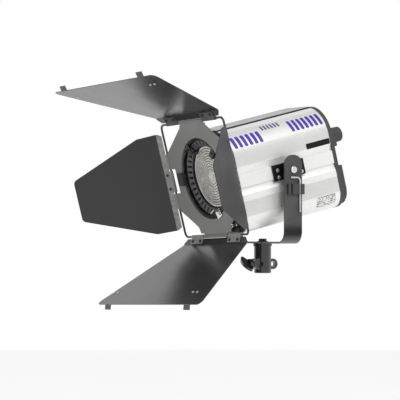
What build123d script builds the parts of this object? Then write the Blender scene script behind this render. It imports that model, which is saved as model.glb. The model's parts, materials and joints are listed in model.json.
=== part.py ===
"""Studio fresnel spotlight held in a stand yoke, with four barn-door leaves on a wire frame.

Millimetres, +Z up, the lamp faces -Y and tilts about X. The origin is the middle of the mouth of the
spigot socket under the yoke, where the lamp sits on its stand. At rest the head nods down a little.
Distances in the head are given as x across, s forward of the tilt axis along the beam, and h up.
"""

import os
from math import cos, hypot, radians, sin

from build123d import *

os.makedirs("parts", exist_ok=True)

# ---------------------------------------------------------------- driving dimensions
PIVOT_Z = 189.0  # tilt axis above the socket mouth
TILT = 13.7  # degrees the head nods down at rest
BEAM_H = 14.5  # beam axis above the tilt axis

# yoke and spigot receiver
YOKE_HALF = 107.2
STRIP = 3.0
STRIP_W = 37.0
BAR_Z = 55.0
YOKE_BEND = 22.0
ARM_RISE = 27.0  # arm top above the tilt axis
SOCKET_R = 8.1
SOCKET_DEPTH = 45.0
RECEIVER_R = 16.0
FLANGE_R = 17.8
WING_Z = 17.0
CLAMP_LUG_END = 24.0  # front end of the lug the wing screw runs in

# housing section and length
SIDE = 86.0
TOP = 96.0
BOTTOM = -94.0
SHOULDER_R = 52.0
HIP_R = 34.0
WALL = 2.6
REAR = -103.0
FRONT = 102.5
LIP_X = 44.0  # where the side extrusions stop, over and under the lamp
PANEL = (12.9, -10.5)  # edges of the raised panel along each side
COVE_W, COVE_D = 13.5, 3.0  # the hollow beside the panel: deepest at its edge, fading out
CAP = 8.5  # rear cap thickness
BEZEL = 4.0  # front bezel thickness
PAD = 7.0  # raised pad under the focus knob

# lens and its ring
RING_R = 74.5
RING_FRONT = 123.0
RING_RIM = 3.5  # width of the raised rim round the front of the ring
RING_NECK_R = 64.0
LENS_R = 57.5
LENS_FRONT = 111.0
TEETH = 38

# barn-door frame
PLATE = 125.2  # mid plane of the wire frame and plate
FRAME_TURN = 1.7  # degrees the frame stands turned about the beam at rest
FRAME_X = 115.5
FRAME_H = 107.3
WIRE_R = 2.0
WIRE_BEND = 9.0
SHEET = 1.2
CURL_IN = 2.08
CURL_OUT = 3.4
OPENING_R = 76.0

# leaves: half widths at the bend and at the free edge, length, and the bent flange
WIDE = {"bend": 116.0, "edge": 197.8, "length": 180.0, "flange": 16.3, "fold": 36.5}
NARROW = {"bend": 92.2, "knee": 37.8, "edge": 38.5, "length": 172.2, "flange": 15.2, "fold": 19.8}
LEAVES = {  # name: turn round the beam from the top, kind, angle from straight ahead
    "top": (0, "wide", 29.6),
    "left": (90, "narrow", 37.5),
    "bottom": (180, "wide", 23.0),
    "right": (270, "narrow", 47.7),
}

# controls on the rear cap
FOCUS_AT = (69.0, 38.0)
DIMMER_AT = (-64.0, 38.0)
BUTTONS_X = (-16.0, 0.0, 16.0)
BUTTON_H = 47.0
INLET_AT = (-42.0, 10.0)
DATA_X = (2.0, 34.0)
DATA_H = 12.0
SWITCH_AT = (-42.0, 32.0)
FAN_H = -46.0

RUN = 0.06  # radial running clearance of a shaft
GAP = 0.3  # clearance between faces that move past each other


# ---------------------------------------------------------------- frames
HEAD = Plane(
    origin=(0, 0, PIVOT_Z),
    x_dir=(1, 0, 0),
    z_dir=(0, -sin(radians(TILT)), cos(radians(TILT))),
)


def at(frame, *steps):
    """The plane reached from a frame by planes or locations, each given in the last one's axes."""
    for step in steps:
        move = step.location if isinstance(step, Plane) else step
        frame = Plane(frame.location * move)
    return frame


def across(s):
    """Plane square to the beam, s ahead of the tilt axis: x across, y up, facing forward."""
    return at(HEAD, Plane.XZ.offset(s))


def beside(x):
    """Upright plane along the beam at x, facing +X: its own x is backward, its y is up."""
    return at(HEAD, Plane.YZ.offset(x))


def over(h):
    """Plane parallel to the beam at height h, facing up: its own y is backward."""
    return at(HEAD, Plane.XY.offset(h))


BARN = at(across(PLATE), Location((0, BEAM_H, 0), (0, 0, FRAME_TURN)))


def save(builder, name):
    """Label a finished piece and write it."""
    builder.part.label = name
    export_step(builder.part, f"parts/{name}.step")


# ---------------------------------------------------------------- yoke
def yoke():
    """U of steel strip: bar below, two arms with domed tops that carry the tilt bolts."""
    arm_top = PIVOT_Z + ARM_RISE
    pivot_hole = 4.0 + RUN
    bolt_hole = 5.2
    with BuildPart() as part:
        with BuildSketch(Plane.XZ.offset(-STRIP_W / 2)):
            with BuildLine():
                FilletPolyline(
                    (-YOKE_HALF, arm_top),
                    (-YOKE_HALF, BAR_Z),
                    (YOKE_HALF, BAR_Z),
                    (YOKE_HALF, arm_top),
                    radius=YOKE_BEND,
                )
                inner = YOKE_HALF - STRIP
                FilletPolyline(
                    (inner, arm_top),
                    (inner, BAR_Z + STRIP),
                    (-inner, BAR_Z + STRIP),
                    (-inner, arm_top),
                    radius=YOKE_BEND - STRIP,
                )
                Line((YOKE_HALF, arm_top), (inner, arm_top))
                Line((-YOKE_HALF, arm_top), (-inner, arm_top))
            make_face()
        extrude(amount=STRIP_W)
        corners = part.edges().filter_by(Axis.X).group_by(Axis.Z)[-1]
        fillet(corners, radius=STRIP_W / 2 - 1.5)
        with BuildSketch(Plane.YZ.offset(-YOKE_HALF - 1)):
            with Locations((0, PIVOT_Z)):
                Circle(pivot_hole)
        extrude(amount=2 * YOKE_HALF + 2, mode=Mode.SUBTRACT)
        with BuildSketch(Plane.XY.offset(BAR_Z - 1)):
            Circle(bolt_hole)
        extrude(amount=STRIP + 2, mode=Mode.SUBTRACT)
    save(part, "yoke")


def spigot_receiver():
    """Cast socket for the stand spigot, with a tapering clamp lug in front and an eye lug behind."""
    lug, tip_r, root = 20.0, 10.0, 14.0
    recess_r, recess_y, recess_x = 6.5, -13.5, 8.0
    eye, eye_r, eye_hole, eye_y = 9.0, 9.8, 5.2, 20.0
    with BuildPart() as part:
        with BuildSketch(Plane.XY):
            Circle(RECEIVER_R)
        extrude(amount=BAR_Z)
        with BuildSketch(Plane.XY.offset(BAR_Z - 5)):
            Circle(FLANGE_R)
        extrude(amount=5)
        with BuildSketch(Plane.YZ.offset(-lug / 2)):
            with Locations((tip_r - CLAMP_LUG_END, WING_Z)):
                Circle(tip_r)
            Polygon(
                (tip_r - CLAMP_LUG_END, WING_Z - tip_r),
                (tip_r - CLAMP_LUG_END, WING_Z + tip_r),
                (-8, WING_Z + root),
                (-8, WING_Z - root),
                align=None,
            )
        extrude(amount=lug)
        # round recesses in both cheeks of the clamp lug
        for side in (-1, 1):
            with BuildSketch(Plane.YZ.offset(side * recess_x)):
                with Locations((recess_y, WING_Z)):
                    Circle(recess_r)
            extrude(amount=side * RECEIVER_R, mode=Mode.SUBTRACT)
        # eye lug for a safety line
        with BuildSketch(Plane.YZ.offset(-eye / 2)):
            with Locations((eye_y - 4, WING_Z)):
                Rectangle(8, 2 * eye_r)
            with Locations((eye_y, WING_Z)):
                Circle(eye_r)
        extrude(amount=eye)
        with BuildSketch(Plane.YZ.offset(-eye)):
            with Locations((eye_y + 0.5, WING_Z)):
                Circle(eye_hole)
        extrude(amount=2 * eye, mode=Mode.SUBTRACT)
        with BuildSketch(Plane.XY):
            Circle(SOCKET_R)
        extrude(amount=SOCKET_DEPTH, mode=Mode.SUBTRACT)
        with BuildSketch(Plane.XY.offset(SOCKET_DEPTH + 1)):
            Circle(5.0)
        extrude(amount=BAR_Z, mode=Mode.SUBTRACT)
        with BuildSketch(Plane.XZ):
            with Locations((0, WING_Z)):
                Circle(4.0 + RUN)
        extrude(amount=CLAMP_LUG_END + 1, mode=Mode.SUBTRACT)
        chamfer(part.faces().sort_by(Axis.Z)[0].outer_wire().edges(), length=1.2)
    save(part, "spigot_receiver")


def receiver_bolt():
    """Flange-head bolt that holds the receiver under the yoke bar."""
    flange = 1.4
    head_h = 4.4
    seat = BAR_Z + STRIP
    with BuildPart() as bolt:
        with BuildSketch(Plane.XY.offset(SOCKET_DEPTH + 1)):
            Circle(5.0)
        extrude(amount=seat - SOCKET_DEPTH - 1)
        with BuildSketch(Plane.XY.offset(seat)):
            Circle(10)
        extrude(amount=flange)
        with BuildSketch(Plane.XY.offset(seat + flange)):
            RegularPolygon(7.4, 6)
        extrude(amount=head_h)
        chamfer(bolt.faces().sort_by(Axis.Z)[-1].edges(), length=0.8)
    save(bolt, "receiver_bolt")


def wing_screw():
    """Hand screw that grips the spigot: a round hub and a crescent of two wings, at a slant."""
    tip = SOCKET_R + 0.4
    hub_start, hub_end = CLAMP_LUG_END + GAP, 30.5
    slant, thick = radians(59), 5.5
    wings = Plane(
        origin=(0, 0, WING_Z),
        x_dir=(-sin(slant), 0, cos(slant)),
        z_dir=(cos(slant), 0, sin(slant)),
    )
    with BuildPart() as part:
        with BuildSketch(Plane.XZ.offset(tip)):
            with Locations((0, WING_Z)):
                Circle(4.0)
        extrude(amount=hub_end - tip)
        with BuildSketch(Plane.XZ.offset(hub_start)):
            with Locations((0, WING_Z)):
                Circle(9.5)
        extrude(amount=hub_end - hub_start)
        chamfer(part.faces().sort_by(Axis.Y)[0].edges(), length=0.8)
        with BuildSketch(wings.offset(-thick / 2)):
            with BuildLine():
                Polyline((-22.5, 35.5), (-20.5, 31.5), (-7.5, 26), (7.5, 26), (20.5, 31.5), (22.5, 35.5))
                ThreePointArc((22.5, 35.5), (0, 43), (-22.5, 35.5))
            make_face()
        extrude(amount=thick)
    save(part, "wing_screw")


# ---------------------------------------------------------------- hex key on the near arm
KEY_X = YOKE_HALF + 2.9  # centre line of the stored key
KEY_Y = 12.4
KEY_FLATS = 3.0
CLIP_LOW, CLIP_HIGH = 144.5, 163.5


def hex_key_clip():
    """Plastic saddle on the near arm with two slots; it hooks round the arm's rear edge."""
    front, rear = -13.5, 20.8
    depth = 5.4
    slot = KEY_FLATS + 0.3
    with BuildPart() as part:
        with BuildSketch(Plane.XY.offset(CLIP_LOW)):
            with Locations((YOKE_HALF, front)):
                Rectangle(depth, rear - front, align=(Align.MIN, Align.MIN))
            with Locations((YOKE_HALF - STRIP - 1.6, STRIP_W / 2)):
                Rectangle(STRIP + 2, rear - STRIP_W / 2, align=(Align.MIN, Align.MIN))
            with Locations((YOKE_HALF + 0.9, KEY_Y), (YOKE_HALF + 0.9, -KEY_Y / 2)):
                Rectangle(depth, slot, align=(Align.MIN, Align.CENTER), mode=Mode.SUBTRACT)
        extrude(amount=CLIP_HIGH - CLIP_LOW)
    save(part, "hex_key_clip")


def hex_key():
    """L-shaped hex key: long leg down through the clip, short leg forward above it."""
    low, high = 112.4, 175.0
    short_end = -7.5
    bend = 6.0
    with BuildPart() as part:
        with BuildLine(Plane.YZ.offset(KEY_X)) as path:
            FilletPolyline((KEY_Y, low), (KEY_Y, high), (short_end, high), radius=bend)
        with BuildSketch(Plane(origin=(KEY_X, KEY_Y, low), x_dir=(1, 0, 0), z_dir=(0, 0, 1))):
            RegularPolygon(KEY_FLATS / 2, 6, major_radius=False, rotation=0)
        sweep(path=path.line)
    save(part, "hex_key")


# ---------------------------------------------------------------- housing
def housing_section(inset=0.0, mode=Mode.ADD):
    """The housing's section: broad round shoulders, tighter round hips, flat sides."""
    top, side, bottom = TOP - inset, SIDE - inset, BOTTOM + inset
    shoulder_x, shoulder_h = SIDE - SHOULDER_R, TOP - SHOULDER_R
    hip_x, hip_h = SIDE - HIP_R, BOTTOM + HIP_R
    with BuildLine() as outline:
        Line((0, top), (shoulder_x, top))
        CenterArc((shoulder_x, shoulder_h), SHOULDER_R - inset, 90, -90)
        Line((side, shoulder_h), (side, hip_h))
        CenterArc((hip_x, hip_h), HIP_R - inset, 0, -90)
        Line((hip_x, bottom), (0, bottom))
        mirror(about=Plane.YZ)
    make_face(outline.edges(), mode=mode)


def groove_places():
    """Where the fine grooves lie: places on the flat sides, and places with a slope on the shoulder."""
    pitch = 2.4
    flat = [(SIDE, -36.0 - pitch * i, 0) for i in range(12)]
    flat += [(SIDE, 29.0 + pitch * i, 0) for i in range(7)]
    shoulder_x, shoulder_h = SIDE - SHOULDER_R, TOP - SHOULDER_R
    step = pitch / radians(1) / SHOULDER_R
    for i in range(1, 7):
        a = step * i
        flat.append(
            (
                shoulder_x + SHOULDER_R * cos(radians(a)),
                shoulder_h + SHOULDER_R * sin(radians(a)),
                a,
            )
        )
    return flat


def side_shells():
    """Left and right aluminium extrusions, with a cove each side of a raised panel, and fine grooves."""
    cove_r = (COVE_W**2 + COVE_D**2) / (2 * COVE_D)
    backing = 3.6
    with BuildPart() as right:
        with BuildSketch(across(REAR)):
            housing_section()
            housing_section(WALL, mode=Mode.SUBTRACT)
            for edge, way in zip(PANEL, (1, -1)):
                with Locations((SIDE - WALL, edge + way * (COVE_W / 2 - 1))):
                    Rectangle(backing, COVE_W, align=(Align.MAX, Align.CENTER))
                with BuildLine() as cove:
                    hollow = SIDE - COVE_D
                    top = edge + way * COVE_W
                    Polyline((SIDE, top), (SIDE + 1, top), (SIDE + 1, edge), (hollow, edge))
                    middle = SIDE - COVE_D + cove_r - (cove_r**2 - COVE_W**2 / 4) ** 0.5
                    ThreePointArc((hollow, edge), (middle, edge + way * COVE_W / 2), (SIDE, top))
                make_face(cove.edges(), mode=Mode.SUBTRACT)
            for x, h, slope in groove_places():
                with Locations(Location((x, h, 0), (0, 0, slope))):
                    Rectangle(0.8, 0.7, mode=Mode.SUBTRACT)
            with Locations((LIP_X, (TOP + BOTTOM) / 2)):
                Rectangle(SIDE, 2 * TOP + 10, align=(Align.MIN, Align.CENTER), mode=Mode.INTERSECT)
        extrude(amount=FRONT - REAR)
    save(right, "side_shell_right")
    with BuildPart() as left:
        add(mirror(right.part, about=Plane.YZ, mode=Mode.PRIVATE))
    save(left, "side_shell_left")


COVER_H = TOP + 1.2  # underside of the top cover


def top_tray():
    """Dark slotted tray that closes the top under the cover, and lets the warm air out."""
    tray_h = TOP - 4.6
    slot_pitch = 9.0
    with BuildPart() as part:
        with BuildSketch(across(REAR)):
            with Locations((0, tray_h)):
                Rectangle(2 * LIP_X - 1.0, 1.6)
            for side in (-1, 1):
                with Locations((side * (LIP_X - 9), tray_h)):
                    Rectangle(3, COVER_H - tray_h, align=(Align.CENTER, Align.MIN))
        extrude(amount=FRONT - REAR)
        with BuildSketch(over(tray_h - 2)):
            with GridLocations(12.0, slot_pitch, 4, 20):
                SlotOverall(10, 4.2)
        extrude(amount=6, mode=Mode.SUBTRACT)
    save(part, "top_tray")


def top_cover():
    """Light cover strip that stands off the top, with rolled edges and a gap all along each side."""
    half = 37.5
    thick = 1.2
    with BuildPart() as part:
        with BuildSketch(across(REAR + 1)):
            with Locations((0, COVER_H)):
                Rectangle(2 * half, thick, align=(Align.CENTER, Align.MIN))
        extrude(amount=FRONT - REAR - 0.5)
        crown = part.edges().filter_by(lambda e: e.length > 100)
        fillet(crown.sort_by(Axis.Z)[-2:], radius=0.9)
    save(part, "top_cover")


def bottom_panel():
    """Flat panel between the two extrusions underneath, with rows of air slots."""
    with BuildPart() as part:
        with BuildSketch(across(REAR)):
            with Locations((0, BOTTOM)):
                Rectangle(2 * LIP_X - 0.4, 2.0, align=(Align.CENTER, Align.MIN))
        extrude(amount=FRONT - REAR)
        with BuildSketch(over(BOTTOM - 1)):
            with Locations((0, -30), (0, 50)):
                with GridLocations(17.0, 9.0, 4, 5):
                    SlotOverall(13, 4)
        extrude(amount=4, mode=Mode.SUBTRACT)
    save(part, "bottom_panel")


BEZEL_SCREWS = [(x, h) for x in (-66, 66) for h in (-62, 66)]


def front_bezel():
    """Black plate that closes the front and carries the lens ring and the guide rods."""
    rod_hole = 3.0
    bar_r, bar_h, bar_half = 5.0, -87.0, 58.0
    with BuildPart() as part:
        with BuildSketch(across(FRONT)):
            housing_section(0.8)
            with Locations((0, BEAM_H)):
                Circle(RING_NECK_R + 0.1, mode=Mode.SUBTRACT)
            with Locations(*BEZEL_SCREWS):
                Circle(2.0, mode=Mode.SUBTRACT)
            with Locations(LOCK_AT):
                Circle(2.5 + RUN, mode=Mode.SUBTRACT)
        extrude(amount=BEZEL)
        with BuildSketch(across(FRONT - 6)):
            with Locations((-ROD_X, ROD_H), (ROD_X, ROD_H)):
                Rectangle(12, 12)
                Circle(rod_hole, mode=Mode.SUBTRACT)
        extrude(amount=6)
        # round bumper bar along the bottom edge
        with BuildSketch(beside(-bar_half)):
            with Locations((-FRONT - BEZEL - 3, bar_h)):
                Circle(bar_r)
        extrude(amount=2 * bar_half)
    save(part, "front_bezel")


def rear_cap():
    """Dark moulded cap that closes the back and carries the controls, sockets and fan."""
    with BuildPart() as part:
        with BuildSketch(across(REAR)):
            housing_section(-0.6)
        extrude(amount=-CAP)
        rim = part.faces().sort_by(HEAD_AXIS)[0].outer_wire().edges()
        fillet(rim, radius=2.2)
        with BuildSketch(across(REAR - CAP)):
            with Locations((FOCUS_AT[0] - 0.5, FOCUS_AT[1] - 4)):
                RectangleRounded(29, 31.5, 3)
        extrude(amount=-PAD)
        with BuildSketch(across(REAR)):
            with Locations(FOCUS_AT):
                Circle(3.0 + RUN)
        extrude(amount=-CAP - PAD, mode=Mode.SUBTRACT)
        with BuildSketch(across(REAR)):
            with Locations(DIMMER_AT):
                Circle(3.0 + RUN)
            with Locations(*[(x, BUTTON_H) for x in BUTTONS_X]):
                Circle(3.5 + RUN)
            with Locations(INLET_AT):
                Rectangle(27.2, 20.0)
            with Locations(SWITCH_AT):
                Rectangle(19.0, 12.6)
            with Locations(*[(x, DATA_H) for x in DATA_X]):
                Circle(11.8)
            with Locations((0, DISPLAY_H)):
                Rectangle(46, 16)
            with Locations((0, FAN_H)):
                Circle(28)
        extrude(amount=-CAP, mode=Mode.SUBTRACT)
        with BuildSketch(across(REAR)):
            with Locations(*CAP_SCREWS):
                Circle(2.0)
        extrude(amount=-CAP, mode=Mode.SUBTRACT)
    save(part, "rear_cap")


def rear_grille():
    """Finned air outlet over the fan, low on the rear cap: a thick louvre with upright fins."""
    low, high = -90.0, -17.5
    depth = 8.0
    pitch = 5.6
    fins = 27
    with BuildPart() as part:
        with BuildSketch(across(REAR - CAP)):
            housing_section(2.6)
            with Locations((0, (low + high) / 2)):
                Rectangle(2 * SIDE, high - low, mode=Mode.INTERSECT)
        extrude(amount=-depth)
        with BuildSketch(across(REAR - CAP - 2.5)):
            with Locations((0, (low + high) / 2)):
                with GridLocations(pitch, 1, fins, 1):
                    Rectangle(2.9, high - low + 2)
        extrude(amount=-depth, mode=Mode.SUBTRACT)
        with BuildSketch(across(REAR - CAP)):
            with Locations((0, FAN_H)):
                Circle(27)
        extrude(amount=-2.6, mode=Mode.SUBTRACT)
    save(part, "rear_grille")


# ---------------------------------------------------------------- tilt joint
BRACKET = 3.0
BRACKET_SCREWS = ((22.0, -9.0), (22.0, 4.0), (-28.0, -9.0), (-28.0, 9.0))


def mirrored(builder):
    """Add the other side's copy of what the current part holds."""
    add(mirror(builder.part, about=Plane.YZ, mode=Mode.PRIVATE))


def tilt_brackets():
    """Black side plates between the channels, each with a boss that meets the yoke arm."""
    forward, back, half_h = 32.0, 36.0, 14.6
    with BuildPart() as part:
        with BuildSketch(beside(SIDE)):
            with Locations(((back - forward) / 2, 0)):
                Rectangle(forward + back, 2 * half_h)
            with Locations(*[(-s, h) for s, h in BRACKET_SCREWS]):
                Circle(2.0, mode=Mode.SUBTRACT)
        extrude(amount=BRACKET)
        with BuildSketch(beside(SIDE + BRACKET)):
            Circle(14.5)
        extrude(amount=YOKE_HALF - STRIP - 1.3 - SIDE - BRACKET)
        with BuildSketch(beside(SIDE + 1)):
            Circle(4.0)
        extrude(amount=YOKE_HALF, mode=Mode.SUBTRACT)
        mirrored(part)
    save(part, "tilt_brackets")


def tilt_bolts():
    """Slotted bolts through the yoke arms into the bracket bosses; the head turns on them."""
    head_r, head_h = 6.2, 3.2
    inner = SIDE + 2
    with BuildPart() as part:
        with BuildSketch(beside(inner)):
            Circle(4.0)
        extrude(amount=YOKE_HALF + GAP - inner)
        with BuildSketch(beside(YOKE_HALF + GAP)):
            Circle(head_r)
        extrude(amount=head_h)
        rim = part.faces().sort_by(Axis.X)[-1].edges()
        fillet(rim, radius=1.2)
        with BuildSketch(beside(YOKE_HALF + GAP + head_h)):
            Rectangle(1.8, 2 * head_r + 2)
        extrude(amount=-1.6, mode=Mode.SUBTRACT)
        mirrored(part)
    save(part, "tilt_bolts")
    with BuildPart() as washers:
        with BuildSketch(beside(YOKE_HALF - STRIP - 1.3)):
            Circle(13.5)
            Circle(4.2, mode=Mode.SUBTRACT)
        extrude(amount=1.3 - GAP)
        mirrored(washers)
    save(washers, "friction_washers")


def bracket_screws():
    """Pan-head screws that hold the tilt brackets to the housing sides."""
    with BuildPart() as part:
        for s, h in BRACKET_SCREWS:
            with BuildSketch(beside(SIDE + BRACKET)):
                with Locations((-s, h)):
                    Circle(3.4)
            extrude(amount=1.8)
        heads = part.faces().sort_by(Axis.X)[-len(BRACKET_SCREWS) :]
        fillet(heads.edges(), radius=0.9)
        for s, h in BRACKET_SCREWS:
            with BuildSketch(beside(SIDE)):
                with Locations((-s, h)):
                    Circle(2.0)
            extrude(amount=BRACKET)
        mirrored(part)
    save(part, "bracket_screws")


# ---------------------------------------------------------------- lens end
def lens():
    """Plano-convex stepped lens: flat behind, rings of short sloping facets in front."""
    back = LENS_FRONT - 7.0
    low = back + 3.6  # where the valleys between the rings lie
    rings = 9
    rim = LENS_R - 3.5
    centre_r = 11.0
    step = (rim - centre_r) / rings
    with BuildPart() as part:
        with BuildSketch(at(HEAD, Plane.XY.offset(BEAM_H))):
            points = [(centre_r - 3, -back), (LENS_R, -back), (LENS_R, -low - 1), (rim, -low - 1)]
            for i in range(rings, 0, -1):
                inner, outer = centre_r + step * (i - 1), centre_r + step * i
                points += [(outer, -low), (inner, -low - step * (0.11 + 0.05 * i))]
            points += [(centre_r, -low), (centre_r - 3, -low)]
            Polygon(*points, align=None)
        revolve(axis=BEAM)
        with BuildSketch(across(back)):
            with Locations((0, BEAM_H)):
                Circle(centre_r)
        extrude(amount=low + 1.8 - back)
        fillet(part.faces().sort_by(HEAD_AXIS)[-1].edges(), radius=0.8)
    save(part, "lens")


def lens_ring():
    """Black cast ring that holds the lens: a raised rim, and cooling teeth on a cone inside it."""
    neck_back, face_back = FRONT - 4, FRONT + BEZEL
    seat = LENS_FRONT - 7.0
    bore, seat_r, inner_r = LENS_R - 2.0, LENS_R + 0.1, RING_R - RING_RIM
    cone_out, cone_in = RING_FRONT - 5.6, RING_FRONT - 11.2
    profile = [
        (bore, neck_back),
        (RING_NECK_R, neck_back),
        (RING_NECK_R, face_back),
        (RING_R, face_back),
        (RING_R, RING_FRONT - 0.8),
        (RING_R - 0.8, RING_FRONT),
        (inner_r, RING_FRONT),
        (inner_r, cone_out),
        (seat_r, cone_in),
        (seat_r, seat),
        (bore, seat),
    ]
    with BuildPart() as part:
        with BuildSketch(at(HEAD, Plane.XY.offset(BEAM_H))):
            Polygon(*[(r, -s) for r, s in profile], align=None)
        revolve(axis=BEAM)
        with BuildSketch(across(RING_FRONT)):
            with Locations((0, BEAM_H)):
                with PolarLocations((seat_r + inner_r) / 2 + 1.0, TEETH):
                    SlotOverall(9.6, 4.6)
        extrude(amount=-14.0, mode=Mode.SUBTRACT)
    save(part, "lens_ring")


def on_ring(angle, radius, s):
    """Plane facing forward at a place on the ring, its x pointing outward."""
    return at(across(s), Location((0, BEAM_H, 0), (0, 0, angle)), Location((radius, 0, 0)))


LUG_ANGLES = (180, 0)
CLAMP_ANGLES = (123, 45)
CLAMP_THICK = 2.4
LATCH_ANGLE = 295
FOOT_HALF = 6.0
LUG_UNDER = PLATE + SHEET / 2 + GAP


def accessory_lugs():
    """Black hooks on the ring that reach over the edge of the barn-door plate and hold it."""
    with BuildPart() as part:
        for angle in LUG_ANGLES:
            with BuildSketch(on_ring(angle, LENS_R + 13.5, RING_FRONT)):
                Rectangle(RING_R - LENS_R - 13.0, 22, align=(Align.MIN, Align.CENTER))
            extrude(amount=LUG_UNDER + 3.4 - RING_FRONT)
            with BuildSketch(on_ring(angle, LENS_R + 13.5, LUG_UNDER)):
                RectangleRounded(19, 24, 2.5, align=(Align.MIN, Align.CENTER))
            extrude(amount=3.4)
    save(part, "accessory_lugs")


def accessory_latch():
    """Bright spring tongue low on the ring that slides in to free the plate; its foot runs on the ring."""
    width, reach, sheet, lip = 17.0, 15.0, 1.6, 11.0
    inner = LENS_R + 7.0
    with BuildPart() as part:
        with BuildSketch(on_ring(LATCH_ANGLE, inner, LUG_UNDER)):
            RectangleRounded(reach, width, 1.5, align=(Align.MIN, Align.CENTER))
        extrude(amount=sheet)
        with BuildSketch(on_ring(LATCH_ANGLE, RING_R - RING_RIM, RING_FRONT + GAP)):
            Rectangle(RING_RIM, 2 * FOOT_HALF, align=(Align.MIN, Align.CENTER))
        extrude(amount=LUG_UNDER - RING_FRONT - GAP)
        with BuildSketch(on_ring(LATCH_ANGLE, inner, LUG_UNDER + sheet - 0.2)):
            Rectangle(sheet, width - 2, align=(Align.MIN, Align.CENTER))
        extrude(amount=lip)
        with BuildSketch(on_ring(LATCH_ANGLE, inner + 8.5, LUG_UNDER + sheet)):
            with Locations((0, 3.4)):
                Circle(3.0)
                RegularPolygon(1.6, 6, mode=Mode.SUBTRACT)
        extrude(amount=2.6)
    save(part, "accessory_latch")


def lens_clamps():
    """Angle blocks that press the lens into its seat, and two short rails that guide the latch."""
    rail, width = 2.0, 11.0
    leg_in, leg_out = LENS_R - 3.0, LENS_R - 0.2
    lens_rim = LENS_FRONT - 2.4
    with BuildPart() as part:
        for angle in CLAMP_ANGLES:
            with BuildSketch(on_ring(angle, leg_in, RING_FRONT)):
                Rectangle(RING_R - 0.8 - leg_in, width, align=(Align.MIN, Align.CENTER))
            extrude(amount=CLAMP_THICK)
            with BuildSketch(on_ring(angle, leg_in, lens_rim)):
                Rectangle(leg_out - leg_in, width, align=(Align.MIN, Align.CENTER))
            extrude(amount=RING_FRONT - lens_rim)
        with BuildSketch(on_ring(LATCH_ANGLE, RING_R - RING_RIM / 2 - 0.2, RING_FRONT)):
            for side in (-1, 1):
                with Locations((0, side * (FOOT_HALF + GAP / 2 + rail / 2))):
                    Rectangle(RING_RIM - 0.6, rail)
        extrude(amount=LUG_UNDER - RING_FRONT - GAP)
    save(part, "lens_clamps")


LOCK_AT = (49.0, -76.0)


def lock_knob():
    """Hand screw low on the bezel: a black washer against the bezel and a grey turned knob."""
    x, h = LOCK_AT
    with BuildPart() as part:
        with BuildSketch(across(FRONT + BEZEL + GAP)):
            with Locations((x, h)):
                Circle(5.8)
        extrude(amount=2.2)
        with BuildSketch(across(FRONT + BEZEL + GAP + 2.2)):
            with Locations((x, h)):
                Circle(4.6)
        extrude(amount=10.0)
        fillet(part.faces().sort_by(HEAD_AXIS)[-1].edges(), radius=1.0)
        with BuildSketch(across(FRONT + 0.5)):
            with Locations((x, h)):
                Circle(2.5)
        extrude(amount=BEZEL)
    save(part, "lock_knob")


# ---------------------------------------------------------------- inside the housing
ROD_X, ROD_H = 56.0, -38.0
CARRIAGE_S = 8.0  # front face of the heat sink at rest
SINK_DEPTH = 42.0
SINK_HALF = 40.0


def guide_rods():
    """Two ground rods that the carriage slides on."""
    with BuildPart() as part:
        with BuildSketch(across(REAR)):
            with Locations((-ROD_X, ROD_H), (ROD_X, ROD_H)):
                Circle(3.0)
        extrude(amount=FRONT - REAR)
    save(part, "guide_rods")


def carriage():
    """Finned heat sink with ears on the guide rods and an arm that the lead screw drives."""
    fins = 13
    pitch = 6.0
    plate = 8.0
    with BuildPart() as part:
        with BuildSketch(across(CARRIAGE_S)):
            with Locations((0, BEAM_H)):
                Rectangle(2 * SINK_HALF, 2 * SINK_HALF)
            with Locations((0, ROD_H + 4)):
                Rectangle(2 * ROD_X + 14, 21)
            with Locations((FOCUS_AT[0] / 2 + 4, FOCUS_AT[1])):
                Rectangle(FOCUS_AT[0] + 4, 12)
            with Locations((-ROD_X, ROD_H), (ROD_X, ROD_H)):
                Circle(3.0 + RUN, mode=Mode.SUBTRACT)
            with Locations(FOCUS_AT):
                Circle(3.0 + RUN, mode=Mode.SUBTRACT)
        extrude(amount=-plate)
        with BuildSketch(across(CARRIAGE_S - plate)):
            with Locations((0, BEAM_H)):
                with GridLocations(pitch, 1, fins, 1):
                    Rectangle(2.0, 2 * SINK_HALF)
        extrude(amount=plate - SINK_DEPTH)
    save(part, "led_heat_sink")
    with BuildPart() as module:
        with BuildSketch(across(CARRIAGE_S)):
            with Locations((0, BEAM_H)):
                RectangleRounded(46, 46, 4)
        extrude(amount=2.4)
        with BuildSketch(across(CARRIAGE_S + 2.4)):
            with Locations((0, BEAM_H)):
                Circle(16)
        extrude(amount=1.2)
    save(module, "led_module")
    base = -CARRIAGE_S - 2.4
    with BuildPart() as cup:
        with BuildSketch(at(HEAD, Plane.XY.offset(BEAM_H))):
            Polygon((18, base), (20, base), (32, base - 17), (30.6, base - 17), align=None)
        revolve(axis=BEAM)
    save(cup, "led_reflector")


def focus_drive():
    """Focus knob behind the cap, and its lead screw running forward through the carriage."""
    x, h = FOCUS_AT
    grips = 20
    knob_r = 14.3
    start = REAR - CAP - PAD - GAP
    with BuildPart() as knob:
        with BuildSketch(across(start)):
            with Locations((x, h)):
                Circle(knob_r)
        extrude(amount=-17.0, taper=2)
        fillet(knob.faces().sort_by(HEAD_AXIS)[0].edges(), radius=1.8)
        with BuildSketch(across(start - 4)):
            with Locations((x, h)):
                with PolarLocations(knob_r + 0.3, grips):
                    Circle(0.9)
        extrude(amount=-15.0, mode=Mode.SUBTRACT)
    save(knob, "focus_knob")
    with BuildPart() as screw:
        with BuildSketch(across(start)):
            with Locations((x, h)):
                Circle(3.0)
        extrude(amount=FRONT - start - 8)
    save(screw, "lead_screw")


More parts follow.
